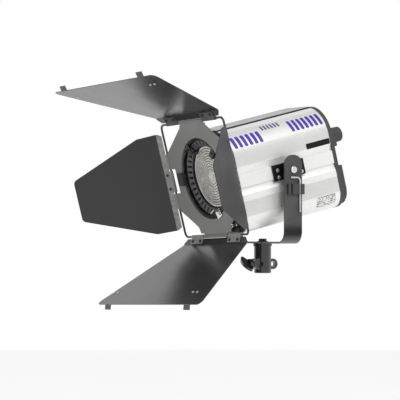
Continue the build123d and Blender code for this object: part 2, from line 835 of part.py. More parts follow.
def fan():
    """Axial fan behind the rear cap: square frame with four struts, and the rotor."""
    depth = 15.0
    half = 30.0
    front = REAR + 0.4
    with BuildPart() as frame:
        with BuildSketch(across(front)):
            with Locations((0, FAN_H)):
                RectangleRounded(2 * half, 2 * half, 4)
                Circle(28, mode=Mode.SUBTRACT)
                with GridLocations(50, 50, 2, 2):
                    Circle(2, mode=Mode.SUBTRACT)
        extrude(amount=depth)
        with BuildSketch(across(front + depth - 2)):
            with Locations((0, FAN_H)):
                Circle(11)
                with PolarLocations(19.5, 4):
                    Rectangle(20, 2.4)
                Circle(1.5 + RUN, mode=Mode.SUBTRACT)
        extrude(amount=2)
    save(frame, "fan_frame")
    blades = 7
    with BuildPart() as rotor:
        with BuildSketch(across(front + 1)):
            with Locations((0, FAN_H)):
                Circle(11)
        extrude(amount=depth - 3.4)
        with BuildSketch(across(front + 2)):
            with Locations((0, FAN_H)):
                with PolarLocations(18.5, blades):
                    Rectangle(17, 2.2)
        extrude(amount=9)
        with BuildSketch(across(front + depth - 4)):
            with Locations((0, FAN_H)):
                Circle(1.5)
        extrude(amount=4)
    save(rotor, "fan_rotor")


def electronics():
    """Power supply on the floor of the housing and the control board behind the controls."""
    with BuildPart() as supply:
        with BuildSketch(over(BOTTOM + 3)):
            with Locations((0, -14)):
                RectangleRounded(84, 118, 3)
        extrude(amount=30)
    save(supply, "power_supply")
    with BuildPart() as board:
        with BuildSketch(across(REAR + 10)):
            with Locations((0, 56)):
                Rectangle(96, 60)
        extrude(amount=1.6)
        with BuildSketch(across(REAR + 11.6)):
            with Locations((-24, 58), (20, 62), (24, 40)):
                Rectangle(18, 12)
        extrude(amount=5)
    save(board, "control_board")


# ---------------------------------------------------------------- rear controls and sockets
DISPLAY_H = 68.0
CAP_SCREWS = [(x, h) for x in (-72, 72) for h in (-8, 60)] + [(-30, 87), (30, 87)]


def rear_fittings():
    """Display window, mains inlet, data sockets and cap screws set in the rear cap."""
    back = REAR - CAP
    with BuildPart() as window:
        with BuildSketch(across(REAR)):
            with Locations((0, DISPLAY_H)):
                Rectangle(46, 16)
        extrude(amount=-CAP - 0.6)
    save(window, "display_window")
    with BuildPart() as inlet:
        with BuildSketch(across(REAR + 14)):
            with Locations(INLET_AT):
                Rectangle(27.2, 20.0)
        extrude(amount=-CAP - 14)
        with BuildSketch(across(back)):
            with Locations(INLET_AT):
                RectangleRounded(31, 24, 2.5)
        extrude(amount=-2.0)
        with BuildSketch(across(back - 2)):
            with Locations(INLET_AT):
                RectangleRounded(24, 16.5, 2)
        extrude(amount=15, mode=Mode.SUBTRACT)
        with BuildSketch(across(back + 13)):
            with Locations(INLET_AT):
                with Locations((-7, -1), (7, -1), (0, 3.5)):
                    Rectangle(2, 4)
        extrude(amount=-10)
    save(inlet, "mains_inlet")
    with BuildPart() as data:
        for i, x in enumerate(DATA_X):
            with BuildSketch(across(REAR + 12)):
                with Locations((x, DATA_H)):
                    Circle(11.8)
            extrude(amount=-CAP - 12)
            with BuildSketch(across(back)):
                with Locations((x, DATA_H)):
                    RectangleRounded(26, 30, 3)
            extrude(amount=-1.8)
            with BuildSketch(across(back - 1.8)):
                with Locations((x, DATA_H)):
                    Circle(9.6)
                    if i:
                        Circle(7.0, mode=Mode.SUBTRACT)
            extrude(amount=14, mode=Mode.SUBTRACT)
    save(data, "data_sockets")
    with BuildPart() as screws:
        with BuildSketch(across(REAR + 2)):
            with Locations(*CAP_SCREWS):
                Circle(1.9)
        extrude(amount=-CAP - 2)
        with BuildSketch(across(back)):
            with Locations(*CAP_SCREWS):
                Circle(3.6)
                RegularPolygon(1.6, 6, mode=Mode.SUBTRACT)
        extrude(amount=-1.8)
        with BuildSketch(across(FRONT + 0.2)):
            with Locations(*BEZEL_SCREWS):
                Circle(1.9)
        extrude(amount=BEZEL - 0.2)
        with BuildSketch(across(FRONT + BEZEL)):
            with Locations(*BEZEL_SCREWS):
                Circle(3.6)
                RegularPolygon(1.6, 6, mode=Mode.SUBTRACT)
        extrude(amount=1.8)
        for angle in CLAMP_ANGLES:
            with BuildSketch(on_ring(angle, LENS_R + 7.5, RING_FRONT + CLAMP_THICK)):
                Circle(2.5)
            extrude(amount=1.4)
    save(screws, "housing_screws")


def controls():
    """Dimmer knob, menu buttons and rocker switch, each free to move in the rear cap."""
    back = REAR - CAP
    with BuildPart() as dimmer:
        with BuildSketch(across(back - GAP)):
            with Locations(DIMMER_AT):
                Circle(9.5)
        extrude(amount=-14, taper=3)
        with BuildSketch(across(REAR + 6)):
            with Locations(DIMMER_AT):
                Circle(3.0)
        extrude(amount=-CAP - 6 - GAP)
        with BuildSketch(across(back - 12)):
            with Locations((DIMMER_AT[0], DIMMER_AT[1] + 5)):
                Rectangle(1.4, 8)
        extrude(amount=-4, mode=Mode.SUBTRACT)
    save(dimmer, "dimmer_knob")
    for i, x in enumerate(BUTTONS_X, 1):
        with BuildPart() as button:
            with BuildSketch(across(REAR - 0.2)):
                with Locations((x, BUTTON_H)):
                    Circle(3.5)
            extrude(amount=-CAP - 1.4)
            fillet(button.faces().sort_by(HEAD_AXIS)[0].edges(), radius=0.6)
        save(button, f"menu_button_{i}")
    with BuildPart() as rocker:
        with BuildSketch(at(beside(SWITCH_AT[0] - 8.8), Location((-REAR, SWITCH_AT[1], 0)))):
            Polygon(
                (1.0, 5.4), (CAP + 2.4, 5.0), (CAP + 0.4, 0), (CAP + 0.9, -5.0), (1.0, -5.4), align=None
            )
        extrude(amount=17.6)
    save(rocker, "power_switch")


# ---------------------------------------------------------------- barn-door frame
def wire_frame():
    """Closed loop of round wire that everything on the barn doors hinges on."""
    with BuildPart() as part:
        with BuildLine(BARN) as path:
            FilletPolyline(
                (-FRAME_X, FRAME_H),
                (-FRAME_X, -FRAME_H),
                (FRAME_X, -FRAME_H),
                (FRAME_X, FRAME_H),
                radius=WIRE_BEND,
                close=True,
            )
        with BuildSketch(Plane(origin=path.line @ 0, z_dir=path.line % 0)):
            Circle(WIRE_R)
        sweep(path=path.line)
    save(part, "wire_frame")


def curl(turn, reach, places, length):
    """Tubes of sheet rolled round the wire on one side of the frame."""
    for place in places:
        side = at(BARN, Location((0, 0, 0), (0, 0, turn)), Location((place, reach, 0), (0, 90, 0)))
        with BuildSketch(side) as tube:
            Circle(CURL_OUT)
            Circle(CURL_IN, mode=Mode.SUBTRACT)
        extrude(tube.sketch, amount=length / 2, both=True)


def door_plate():
    """Grey plate inside the wire frame, with the big round opening and necks out to the wire."""
    neck = 43.0  # half width where the plate reaches the wire between the hinges
    wide, low_wide = 47.0, 54.0
    reach, clear = FRAME_H - 2.6, FRAME_H - 5.5
    right_side = [
        (neck, reach),
        (neck, clear),
        (wide, clear),
        (wide, 98.0),
        (FRAME_X - 2.6, 54.0),
        (FRAME_X - 2.6, 23.0),
        (98.0, 23.0),
        (98.0, -23.0),
        (FRAME_X - 2.6, -23.0),
        (FRAME_X - 2.6, -56.0),
        (76.0, -78.0),
        (low_wide + 4, -90.0),
        (low_wide, -clear),
        (neck, -clear),
        (neck, -reach),
    ]
    left_side = [(-x, h) for x, h in reversed(right_side)]
    with BuildPart() as part:
        with BuildSketch(BARN):
            with BuildLine():
                Polyline(*right_side, *left_side, close=True)
            make_face()
            Circle(OPENING_R, mode=Mode.SUBTRACT)
        extrude(amount=SHEET / 2, both=True)
        for turn in (0, 180):
            curl(turn, FRAME_H, (0,), 2 * neck)
        for turn in (90, 270):
            curl(turn, FRAME_X, (38.0, -38.0), 29.0)
    save(part, "door_plate")


def mount_ring():
    """Turned ring behind the plate that runs in the lugs when the doors are turned."""
    with BuildPart() as part:
        with BuildSketch(BARN.offset(-SHEET / 2)):
            Circle(OPENING_R + 7)
            Circle(OPENING_R, mode=Mode.SUBTRACT)
        extrude(amount=-4.0)
    save(part, "mount_ring")


# ---------------------------------------------------------------- leaves
def leaf_plane(name):
    """A leaf's own plane on the wire: x along the hinge, y out along the leaf, z to the beam."""
    turn, kind, angle = LEAVES[name]
    reach = FRAME_H if kind == "wide" else FRAME_X
    return at(BARN, Location((0, 0, 0), (0, 0, turn)), Location((0, reach, 0), (90 - angle, 0, 0)))


def flange_plane(name):
    """The bent flange's plane: y runs from the wire to the bend."""
    fold = size_of(name)["fold"]
    return at(leaf_plane(name), Location((0, 0, 0), (-fold, 0, 0)))


def size_of(name):
    return WIDE if LEAVES[name][1] == "wide" else NARROW


def leaf_outline(name):
    """Corners of the flat of a leaf, from the bend outward; y is measured from the bend."""
    size = size_of(name)
    bend, edge, length = size["bend"], size["edge"], size["length"]
    if LEAVES[name][1] == "wide":
        return [(-bend, 0), (-edge, length), (edge, length), (bend, 0)]
    knee = size["knee"]
    return [(-bend, 0), (-bend + 1, knee), (-edge, length), (edge, length), (bend - 1, knee), (bend, 0)]


def leaf(name):
    """One door leaf: flat sheet, with a flange bent towards the wire."""
    size = size_of(name)
    flange, fold = size["flange"], radians(size["fold"])
    bend_y, bend_z = flange * cos(fold), -flange * sin(fold)
    trim = 11.0 if LEAVES[name][1] == "wide" else 5.0
    with BuildPart() as part:
        with BuildSketch(at(leaf_plane(name), Location((0, bend_y, bend_z)))) as flat:
            Polygon(*leaf_outline(name), align=None)
            outer = flat.vertices().group_by(Axis.Y)[-1]
            fillet(outer, radius=9.0)
        extrude(amount=SHEET / 2, both=True)
        half = size["bend"]
        with BuildSketch(flange_plane(name)):
            Polygon(
                (-half + trim, 4.3),
                (half - trim, 4.3),
                (half - 0.5, flange - 3),
                (half - 0.5, flange + 0.3),
                (-half + 0.5, flange + 0.3),
                (-half + 0.5, flange - 3),
                align=None,
            )
        extrude(amount=SHEET / 2, both=True)
    save(part, f"{name}_leaf")


HINGE_X = {"wide": (-68.0, 68.0), "narrow": (0.0,)}
HINGE_HALF = {"wide": 22.0, "narrow": 20.0}
HINGE_REACH = {"wide": 14.0, "narrow": 11.8}


def hinge_brackets(name):
    """Strips screwed to the flange that roll round the wire."""
    kind = LEAVES[name][1]
    half, reach = HINGE_HALF[kind], HINGE_REACH[kind]
    with BuildPart() as part:
        for x in HINGE_X[kind]:
            section = at(flange_plane(name), Plane.YZ.offset(x - half))
            with BuildSketch(section):
                with Locations((0, SHEET / 2)):
                    Rectangle(reach, SHEET, align=(Align.MIN, Align.MIN))
                Circle(CURL_OUT)
                Circle(CURL_IN, mode=Mode.SUBTRACT)
            extrude(amount=2 * half)
    save(part, f"{name}_hinges")


def hinge_screws(name):
    """Dark screws on the wide leaves' brackets, flat rivets on the narrow leaves' knuckles."""
    kind = LEAVES[name][1]
    reach = {"wide": 9.6, "narrow": 8.6}[kind]
    spread = {"wide": 14.0, "narrow": 13.0}[kind]
    height = {"wide": 1.7, "narrow": 1.0}[kind]
    face = flange_plane(name).offset(1.5 * SHEET)
    with BuildPart() as part:
        for x in HINGE_X[kind]:
            for side in (-spread, spread):
                with BuildSketch(face):
                    with Locations((x + side, reach)):
                        Circle(2.6)
                extrude(amount=height)
                with BuildSketch(flange_plane(name).offset(-SHEET / 2)):
                    with Locations((x + side, reach)):
                        Circle(2.3)
                extrude(amount=-1.2)
    save(part, f"{name}_hinge_screws")


CLIP_X = 150.0


def gel_clips(name):
    """Spring clips on the outer face of a wide leaf: riveted pads, and tabs bent out past the edge."""
    size = size_of(name)
    fold = radians(size["fold"])
    bend_y, bend_z = size["flange"] * cos(fold), -size["flange"] * sin(fold)
    length = size["length"]
    tab_half, tab, lean, sheet = 11.0, 9.0, 48.0, 0.9
    inside, pad_x, pad_half, pitch = 35.0, 18.0, 12.0, 15.0
    hand = -1 if name == "top" else 1  # the rivets of both leaves lie on the same side of the tabs
    outer_face = at(leaf_plane(name), Location((0, bend_y, bend_z - SHEET / 2)))
    inner_face = at(leaf_plane(name), Location((0, bend_y, bend_z + SHEET / 2)))
    pad = [
        (pad_x - pad_half, length - inside - 6),
        (pad_x + pad_half, length - inside - 6),
        (pad_x + pad_half, length - inside + 8),
        (tab_half, length),
        (-tab_half, length),
        (-tab_half, length - inside + 14),
    ]
    with BuildPart() as part:
        for x in (-CLIP_X, CLIP_X):
            with BuildSketch(outer_face):
                Polygon(*[(x + hand * px, py) for px, py in pad], align=None)
            extrude(amount=-sheet)
            with BuildSketch(at(outer_face, Location((x, length, 0), (-lean, 0, 0)))):
                Rectangle(2 * tab_half, tab, align=(Align.CENTER, Align.MIN))
            extrude(amount=-sheet)
            for side in (-pitch / 2, pitch / 2):
                with BuildSketch(inner_face):
                    with Locations((x + hand * pad_x + side, length - inside)):
                        Circle(1.9)
                extrude(amount=1.0)
    save(part, f"{name}_gel_clips")


BEAM = Axis(HEAD.from_local_coords(Vector(0, 0, BEAM_H)), -HEAD.y_dir)
HEAD_AXIS = Axis(HEAD.origin, -HEAD.y_dir)


def main():
    yoke()
    spigot_receiver()
    receiver_bolt()
    wing_screw()
    hex_key_clip()
    hex_key()
    side_shells()
    top_tray()
    top_cover()
    bottom_panel()
    front_bezel()
    rear_cap()
    rear_grille()
    tilt_brackets()
    tilt_bolts()
    bracket_screws()
    lens()
    lens_ring()
    accessory_lugs()
    accessory_latch()
    lens_clamps()
    lock_knob()
    guide_rods()
    carriage()
    focus_drive()
    fan()
    electronics()
    rear_fittings()
    controls()
    wire_frame()
    door_plate()
    mount_ring()
    for name in LEAVES:
        leaf(name)
        hinge_brackets(name)
        hinge_screws(name)
        if LEAVES[name][1] == "wide":
            gel_clips(name)


main()
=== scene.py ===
"""Looks for the fresnel spotlight: a material for every CAD node, the markings, the studio and the camera.

Blender's own lengths are metres. Lengths in the lamp's own terms are millimetres: x across, s forward of
the tilt axis along the beam, and h up from it, which in_head and Graph.along turn into places.
"""

import json
from math import asin, cos, radians, sin

import bmesh
import bpy
from mathutils import Matrix, Vector


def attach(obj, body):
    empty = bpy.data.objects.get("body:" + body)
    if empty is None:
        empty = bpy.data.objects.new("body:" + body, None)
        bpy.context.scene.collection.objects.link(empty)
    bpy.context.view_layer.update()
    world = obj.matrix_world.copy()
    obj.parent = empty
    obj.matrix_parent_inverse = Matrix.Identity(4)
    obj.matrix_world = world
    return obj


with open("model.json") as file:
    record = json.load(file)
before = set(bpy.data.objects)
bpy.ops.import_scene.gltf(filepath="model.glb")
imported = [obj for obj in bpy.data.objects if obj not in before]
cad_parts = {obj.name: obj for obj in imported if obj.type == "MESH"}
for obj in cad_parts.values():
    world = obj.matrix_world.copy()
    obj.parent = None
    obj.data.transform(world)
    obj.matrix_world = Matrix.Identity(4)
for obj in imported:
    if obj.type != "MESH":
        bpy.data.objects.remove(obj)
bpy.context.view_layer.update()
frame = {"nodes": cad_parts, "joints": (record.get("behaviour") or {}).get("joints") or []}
nodes = frame["nodes"]

MM = 0.001

# ------------------------------------------------------------------ the lamp's own directions
joints = {joint["name"]: joint for joint in frame["joints"]}
PIVOT = Vector(joints["head_tilt"]["pos_m"])
FRAME_CENTRE = Vector(joints["barn_turn"]["pos_m"])  # on the beam axis
FORWARD = Vector(joints["barn_turn"]["axis"])
ACROSS = Vector((1, 0, 0))
UPWARD = FORWARD.cross(ACROSS)
HEAD_TURN = (asin(-FORWARD.z), 0, 0)  # lays a texture's y along the beam


def in_head(x, s, h):
    """A point given in millimetres across, forward and up from the tilt axis."""
    return PIVOT + (ACROSS * x + FORWARD * s + UPWARD * h) * MM


# ------------------------------------------------------------------ shader nodes
class Graph:
    """One material, with short ways to add and join its nodes."""

    def __init__(self, name):
        self.mat = bpy.data.materials.new(name)
        self.mat.use_nodes = True
        self.tree = self.mat.node_tree
        self.shader = self.tree.nodes["Principled BSDF"]
        self.place = self.node("TexCoord").outputs["Object"]

    def node(self, kind, values=None, **settings):
        made = self.tree.nodes.new("ShaderNode" + kind)
        for key, value in settings.items():
            setattr(made, key, value)
        for key, value in (values or {}).items():
            self.put(made.inputs[key], value)
        return made

    def put(self, socket, value):
        if isinstance(value, bpy.types.NodeSocket):
            self.tree.links.new(value, socket)
        else:
            socket.default_value = value

    def math(self, kind, a, b=0.0, clamp=False):
        return self.node("Math", {0: a, 1: b}, operation=kind, use_clamp=clamp).outputs[0]

    def remap(self, value, low, high, to_low=0.0, to_high=1.0, smooth=False):
        kind = "SMOOTHSTEP" if smooth else "LINEAR"
        values = {"Value": value, "From Min": low, "From Max": high, "To Min": to_low, "To Max": to_high}
        return self.node("MapRange", values, interpolation_type=kind).outputs[0]

    def mix(self, amount, a, b):
        made = self.node("Mix", data_type="RGBA")
        self.put(made.inputs[0], amount)
        self.put(made.inputs[6], a)
        self.put(made.inputs[7], b)
        return made.outputs[2]

    def times(self, colour, factor):
        """A colour made darker or lighter by a factor."""
        return self.node("VectorMath", {0: colour, 1: factor}, operation="MULTIPLY").outputs[0]

    def noise(self, scale, detail=2.0, turn=(0, 0, 0), stretch=(1, 1, 1)):
        place = {"Vector": self.place, "Rotation": turn, "Scale": stretch}
        where = self.node("Mapping", place, vector_type="POINT").outputs[0]
        return self.node("TexNoise", {"Vector": where, "Scale": scale, "Detail": detail}).outputs["Fac"]

    def cells(self, scale, feature="F1"):
        made = self.node("TexVoronoi", {"Vector": self.place, "Scale": scale}, feature=feature)
        return made.outputs["Distance"]

    def band(self, value, rise, fall, smooth=False):
        """One between two places and nothing outside them; each edge is a pair of values."""
        risen = self.remap(value, *rise, smooth=smooth)
        return self.math("MULTIPLY", risen, self.remap(value, *fall, 1.0, 0.0, smooth))

    def along(self, origin, direction):
        """How far, in millimetres, a point lies from origin along a direction."""
        offset = self.node("VectorMath", {0: self.place, 1: origin}, operation="SUBTRACT").outputs[0]
        scaled = Vector(direction) / MM
        return self.node("VectorMath", {0: offset, 1: scaled}, operation="DOT_PRODUCT").outputs["Value"]


NOISE = (0.3, 0.7)  # where nearly all of a noise's values lie
EDGE = (0.985, 0.86)  # cosine of the bevelled normal's turn where wear starts, and where it is full
WEAR_SCALE, WEAR_PATCH = 90.0, (0.42, 0.62)
PALE_EDGE = 2.2  # how much lighter an edge rubs when its bare colour isn't given
GRAIN_ROUGH, LEAST_ROUGH, COAT_ROUGH = 0.04, 0.04, 0.12
BUMP_STRENGTH = 0.6


def tone(colour, factor=1.0):
    """A colour with its alpha, made lighter or darker."""
    return tuple(min(1.0, c * factor) for c in colour[:3]) + (1.0,)


def coating(name, colour, rough, metal=0.0, specular=0.5, mottle=0.15, cloud=18.0, grain=500.0,
            relief=0.06, stretch=(1, 1, 1), turn=(0, 0, 0), edge=0.45, worn=None, worn_metal=0.0,
            wear=0.5, spread=0.16, coat=0.0, overlay=None):
    """A surface with clouding, grain, smudges and edges that have rubbed lighter."""
    g = Graph(name)
    clouds = g.noise(cloud, 3.0)
    fine = g.noise(grain, 2.0, turn, stretch)
    broad = mottle * 0.6
    speck = g.remap(fine, *NOISE, 1.0 - mottle, 1.0 + mottle)
    shade = g.remap(clouds, *NOISE, 1.0 - broad, 1.0 + broad)
    base = g.node("RGB").outputs[0]
    base.default_value = tone(colour)
    painted = g.times(base, g.math("MULTIPLY", speck, shade))
    if overlay:
        painted = overlay(g, painted)

    bevel = g.node("Bevel", {"Radius": edge * MM}, samples=4).outputs[0]
    true = g.node("NewGeometry").outputs["Normal"]
    facing = g.node("VectorMath", {0: bevel, 1: true}, operation="DOT_PRODUCT").outputs["Value"]
    patches = g.remap(g.noise(WEAR_SCALE, 4.0), *WEAR_PATCH)
    rubbed = g.math("MULTIPLY", g.remap(facing, *EDGE), patches)
    amount = g.math("MULTIPLY", rubbed, wear, clamp=True)
    bare = tone(worn) if worn else tone(colour, PALE_EDGE)
    g.put(g.shader.inputs["Base Color"], g.mix(amount, painted, bare))
    if worn_metal > metal:
        metal = g.math("ADD", g.math("MULTIPLY", amount, worn_metal), metal)
    g.put(g.shader.inputs["Metallic"], metal)

    smudge = g.noise(cloud * 2.3, 5.0)
    level = g.remap(smudge, *NOISE, rough - spread / 2, rough + spread / 2)
    level = g.math("ADD", level, g.remap(fine, *NOISE, -GRAIN_ROUGH, GRAIN_ROUGH))
    g.put(g.shader.inputs["Roughness"], g.math("MAXIMUM", level, LEAST_ROUGH))
    relief_of = {"Height": fine, "Strength": BUMP_STRENGTH, "Distance": relief * MM, "Normal": bevel}
    g.put(g.shader.inputs["Normal"], g.node("Bump", relief_of).outputs[0])
    g.put(g.shader.inputs["Specular IOR Level"], specular)
    if coat:
        g.put(g.shader.inputs["Coat Weight"], coat)
        g.put(g.shader.inputs["Coat Roughness"], COAT_ROUGH)
    return g


def paint(graph, *things):
    """Gives the material to CAD nodes, by name, or to pieces."""
    for thing in things:
        thing = nodes[thing] if isinstance(thing, str) else thing
        slots = thing.material_slots
        if slots:
            for slot in slots:
                slot.material = graph.mat
        else:
            thing.data.materials.append(graph.mat)


# ------------------------------------------------------------------ paint, painted light and painted shade that change from place to place
LEAF_OPEN = {"top": 29.6, "left": 37.5, "bottom": 23.0, "right": 47.7}  # degrees from straight ahead
FLANGE = (13.9, 14.7)  # where a side leaf's bent strip ends, from its hinge
LEAF_FACE = (-9.5, -9.3)  # the inner face of a wide leaf, from its hinge
CONE = ((58.5, 60.0), (70.0, 71.0))  # the toothed cone's radii on the lens ring
CONE_FACE = (110.5, 112.5)
UPPER_GROOVES = ((26.0, 28.5), (89.0, 91.0))  # heights of the grooved bands on the housing
LOWER_GROOVES = ((-64.5, -62.5), (-36.5, -34.5))
# painted shade: the groove pitch, how dark the groove lines are painted, and how much the grooved bands are
# darkened as a whole
GROOVE_PITCH, GROOVE_LINE_SHADE, GROOVED_BAND_SHADE = 2.4, 0.80, 0.92
YOKE_SHADE_BAND = ((64, 72), (77, 95))  # heights above the socket mouth of the painted shade band
# heights where the painted highlight round the bend fades out
YOKE_HIGHLIGHT = (56, 65)
LENS_SCREWS = (115.0, 116.0)  # screws ahead of this hold the lens


def leaf_at(door):
    """A leaf's hinge, the way out from the beam there, and how far it stands open."""
    hinge = Vector(joints[door + "_door_swing"]["pos_m"])
    return hinge, (hinge - FRAME_CENTRE).normalized(), radians(LEAF_OPEN[door])


def bend_reflection_overlay(door):
    """A painted reflection: the bent strip beside the wire is painted a lighter, mottled grey, for the white
    room it reflects.
    """
    hinge, out, angle = leaf_at(door)
    ahead = FORWARD * cos(angle) + out * sin(angle)

    def overlay(g, painted):
        # painted reflection: a lighter, mottled grey on the bent strip
        strip = g.remap(g.along(hinge, ahead), *FLANGE, 1.0, 0.0)
        reflection_mottle = g.remap(g.noise(140, 4.0), 0.35, 0.65)
        return g.mix(strip, painted, g.mix(reflection_mottle, (0.20, 0.20, 0.195, 1), (0.33, 0.33, 0.32, 1)))

    return overlay


def rivet_highlight_overlay(door):
    """Rivet heads on the inner face of a wide leaf, painted near-white as a painted highlight for the glint
    of their bright metal, on otherwise dark spring clips.
    """
    hinge, out, angle = leaf_at(door)
    inward = FORWARD * sin(angle) - out * cos(angle)

    def overlay(g, painted):
        return g.mix(g.remap(g.along(hinge, inward), *LEAF_FACE), painted, (0.85, 0.85, 0.83, 1))

    return overlay


def from_beam(g):
    """How far, in millimetres, a point lies from the beam axis."""
    x = g.along(FRAME_CENTRE, ACROSS)
    h = g.along(FRAME_CENTRE, UPWARD)
    flat = g.node("CombineXYZ", {0: x, 1: h, 2: 0.0}).outputs[0]
    return g.node("VectorMath", {0: flat}, operation="LENGTH").outputs["Value"]


def tooth_highlight_overlay(g, painted):
    """A painted highlight: the cone of teeth inside the rim is painted lighter than the cast ring on its
    front faces.
    """
    front = g.remap(g.along(PIVOT, FORWARD), *CONE_FACE)
    cone = g.math("MULTIPLY", g.band(from_beam(g), *CONE), front)
    return g.mix(cone, painted, (0.13, 0.13, 0.13, 1))


def groove_shade_bands(g, painted):
    """Painted shade for the extrusion's fine grooves: thin darker lines at the groove pitch, and the grooved
    bands painted a little greyer as a whole than the smooth panel and lips.
    """
    h = g.along(PIVOT, UPWARD)
    groove = g.math("FRACT", g.math("DIVIDE", h, GROOVE_PITCH))
    fine = g.remap(groove, 0.2, 0.8, GROOVE_LINE_SHADE, 1.0)
    grooved = g.math("ADD", g.band(h, *UPPER_GROOVES), g.band(h, *LOWER_GROOVES), clamp=True)
    return g.mix(grooved, painted, g.times(painted, g.math("MULTIPLY", fine, GROOVED_BAND_SHADE)))


def yoke_shade_and_highlight(g, painted):
    """Painted shade on the powder paint: a dark band where the strip starts to bend, and a painted
    highlight, lighter, round the bend.
    """
    height = g.along(Vector((0, 0, 0)), Vector((0, 0, 1)))
    dark = g.mix(g.band(height, *YOKE_SHADE_BAND, smooth=True), painted, (0.001, 0.001, 0.001, 1))
    bend_highlight = g.remap(height, *YOKE_HIGHLIGHT, 1.0, 0.0, smooth=True)
    return g.mix(g.math("MULTIPLY", bend_highlight, 0.8), dark, (0.15, 0.15, 0.15, 1))


def front_overlay(g, painted):
    """The two screws at the lens are black; the rest stay bright."""
    return g.mix(g.remap(g.along(PIVOT, FORWARD), *LENS_SCREWS), painted, (0.012, 0.012, 0.012, 1))


# ------------------------------------------------------------------ materials
STEEL_WORN = (0.42, 0.42, 0.41)
BRUSHED = (60, 1, 60)  # grain drawn out along the beam

# The housing sides carry painted shade in their grooved bands.
paint(
    coating("anodised_silver", (0.75, 0.75, 0.74), 0.40, metal=0.45, mottle=0.035, cloud=9, grain=30,
            relief=0.01, stretch=BRUSHED, turn=HEAD_TURN, edge=0.25, worn=(0.85, 0.85, 0.84), wear=0.5,
            spread=0.10, overlay=groove_shade_bands),
    "side_shell_left", "side_shell_right",
)
paint(
    coating("cover_paint", (0.40, 0.40, 0.41), 0.42, mottle=0.06, cloud=12, grain=900, relief=0.02,
            edge=0.5, worn=(0.7, 0.7, 0.7), worn_metal=0.6, wear=0.6),
    "top_cover",
)
paint(
    coating("black_sheet", (0.018, 0.018, 0.019), 0.52, mottle=0.25, grain=1100, relief=0.03,
            worn=(0.16, 0.16, 0.16), worn_metal=0.6, wear=0.5),
    "top_tray", "bottom_panel", "front_bezel",
)
paint(
    coating("bracket_black", (0.006, 0.006, 0.006), 0.40, specular=0.15, mottle=0.25, grain=1100,
            relief=0.03, worn=(0.16, 0.16, 0.16), worn_metal=0.6, wear=0.5),
    "tilt_brackets",
)
# The yoke carries a painted shade band and a painted highlight at its bend.
paint(
    coating("yoke_powder", (0.056, 0.056, 0.057), 0.46, specular=0.32, mottle=0.45, grain=850, relief=0.10,
            edge=0.6, worn=(0.26, 0.26, 0.26), worn_metal=0.6, wear=0.6, overlay=yoke_shade_and_highlight),
    "yoke",
)
paint(
    coating("receiver_enamel", (0.010, 0.010, 0.011), 0.22, mottle=0.2, cloud=40, grain=220, relief=0.05,
            edge=0.7, worn=STEEL_WORN, worn_metal=0.9, wear=0.35, coat=0.6),
    "spigot_receiver", "wing_screw",
)
paint(
    coating("clip_plastic", (0.030, 0.030, 0.031), 0.42, mottle=0.2, grain=1500, relief=0.02, edge=0.4,
            wear=0.4),
    "hex_key_clip", "data_sockets", "accessory_lugs", "lens_clamps",
)
paint(
    coating("inlet_plastic", (0.014, 0.014, 0.015), 0.30, mottle=0.15, grain=1300, relief=0.015, wear=0.3),
    "mains_inlet", "power_switch",
)
paint(
    coating("cap_plastic", (0.034, 0.034, 0.036), 0.56, mottle=0.22, cloud=25, grain=1400, relief=0.05,
            edge=0.7, wear=0.35),
    "rear_cap", "rear_grille",
)
paint(
    coating("knob_rubber", (0.030, 0.030, 0.032), 0.60, mottle=0.2, grain=1600, relief=0.04, edge=0.35,
            wear=0.4),
    "focus_knob", "dimmer_knob",
)
paint(
    coating("button_rubber", (0.11, 0.11, 0.115), 0.62, mottle=0.15, grain=1700, relief=0.03, edge=0.3,
            wear=0.3),
    "menu_button_1", "menu_button_2", "menu_button_3",
)
# The ring's strong edge wear is partly real wear and partly a painted highlight along the edges of the
# teeth.
paint(
    coating("ring_casting", (0.004, 0.004, 0.0045), 0.40, specular=0.14, mottle=0.3, grain=700, relief=0.08,
            edge=0.8, worn=(0.36, 0.36, 0.36), worn_metal=0.5, wear=0.9, overlay=tooth_highlight_overlay),
    "lens_ring",
)
paint(
    coating("bright_nickel", (0.74, 0.73, 0.70), 0.17, metal=1.0, mottle=0.05, cloud=60, grain=260,
            relief=0.012, stretch=(1, 8, 1), edge=0.35, worn=(0.9, 0.9, 0.88), wear=0.4, spread=0.12),
    "tilt_bolts", "accessory_latch", "lock_knob",
)
paint(
    coating("zinc_screw", (0.50, 0.50, 0.49), 0.32, metal=0.95, mottle=0.12, cloud=80, grain=900,
            relief=0.02, edge=0.25, worn=(0.8, 0.8, 0.8), wear=0.5),
    "bracket_screws",
)
paint(
    coating("housing_zinc", (0.50, 0.50, 0.49), 0.32, metal=0.6, mottle=0.12, cloud=80, grain=900,
            relief=0.02, edge=0.25, worn=(0.5, 0.5, 0.5), wear=0.3, overlay=front_overlay),
    "housing_screws",
)
paint(
    coating("black_oxide", (0.030, 0.030, 0.031), 0.36, metal=0.7, mottle=0.25, cloud=70, grain=800,
            relief=0.02, edge=0.3, worn=STEEL_WORN, worn_metal=1.0, wear=0.6),
    "receiver_bolt", "top_hinge_screws", "bottom_hinge_screws", "left_hinge_screws", "right_hinge_screws",
)
paint(
    coating("key_steel", (0.46, 0.46, 0.45), 0.22, metal=1.0, mottle=0.15, cloud=60, grain=500,
            relief=0.01, stretch=(1, 1, 0.1), edge=0.4, worn=(0.75, 0.75, 0.72), worn_metal=1.0, wear=1.0),
    "hex_key",
)
paint(
    coating("wire_paint", (0.022, 0.022, 0.023), 0.34, mottle=0.2, cloud=50, grain=700, relief=0.03,
            edge=0.3, worn=STEEL_WORN, worn_metal=1.0, wear=0.5),
    "wire_frame",
)
